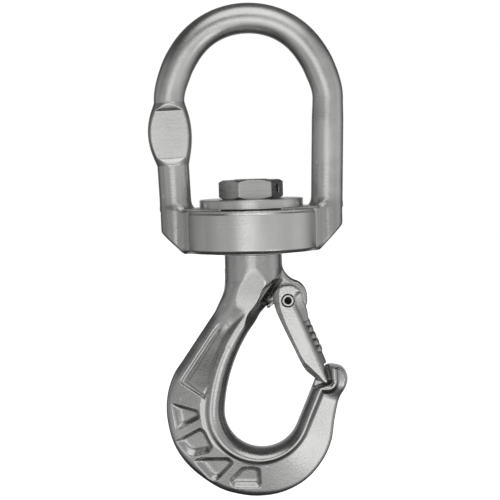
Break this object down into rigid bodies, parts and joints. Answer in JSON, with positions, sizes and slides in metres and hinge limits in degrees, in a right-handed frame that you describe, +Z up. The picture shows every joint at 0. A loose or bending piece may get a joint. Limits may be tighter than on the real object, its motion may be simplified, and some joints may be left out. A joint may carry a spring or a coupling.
{
  "type": "swivel hook",
  "caption": "Latched lifting hook that swivels on a thrust bearing under a forged eye bow, with a spring-closed latch, a cover washer and a pinned hexagon nut.",
  "frame": {"origin": "point of the bow's inner crown that the load hangs from, in the bow's middle plane", "axes": "+Z up along the swivel axis, +X towards the hook's tip, +Y to the back, along the latch pin"},
  "size_m": [0.0831, 0.057, 0.2097],
  "materials": {
    "forged_bow": "blasted stainless forging",
    "forged_hook": "blasted stainless forging",
    "cast_latch": "satin stainless casting",
    "turned_steel": "turned stainless",
    "pin_steel": "rolled spring steel",
    "spring_wire": "drawn wire",
    "race_steel": "ground",
    "ball_steel": "polished",
    "cage_brass": "pressed",
    "bush_bronze": "turned",
    "seal_rubber": "matt"
  },
  "bodies": {
    "bow": {"swivel_bow": "forged_bow", "plain_bush": "bush_bronze", "bearing_lower_race": "race_steel", "upper_seal": "seal_rubber"},
    "hook": {"hook": "forged_hook", "bearing_upper_race": "race_steel", "lower_seal": "seal_rubber", "cover_washer": "turned_steel", "hex_nut": "turned_steel", "nut_lock_pin": "pin_steel", "latch_pin": "pin_steel", "latch_spring": "spring_wire"},
    "ball_set": {"bearing_cage": "cage_brass", "bearing_ball_01": "ball_steel", "bearing_ball_02": "ball_steel", "bearing_ball_03": "ball_steel", "bearing_ball_04": "ball_steel", "bearing_ball_05": "ball_steel", "bearing_ball_06": "ball_steel", "bearing_ball_07": "ball_steel", "bearing_ball_08": "ball_steel", "bearing_ball_09": "ball_steel", "bearing_ball_10": "ball_steel", "bearing_ball_11": "ball_steel", "bearing_ball_12": "ball_steel"},
    "latch": {"latch": "cast_latch"}
  },
  "joints": [
    {"name": "swivel", "type": "hinge", "parent": "bow", "child": "hook", "pos_m": [0, 0, -0.084], "axis": [0, 0, 1], "continuous": true},
    {"name": "bearing_turn", "type": "hinge", "parent": "bow", "child": "ball_set", "pos_m": [0, 0, -0.084], "axis": [0, 0, 1], "continuous": true},
    {"name": "latch_swing", "type": "hinge", "parent": "hook", "child": "latch", "pos_m": [0.0143, 0, -0.113], "axis": [0, 1, 0], "range_deg": [0, 57], "stiffness_Nm_per_rad": 0.08, "springref_deg": -45.84, "deforming": ["latch_spring"]}
  ],
  "couplings": [
    {"joint": "bearing_turn", "follows": "swivel", "ratio": 0.5}
  ]
}
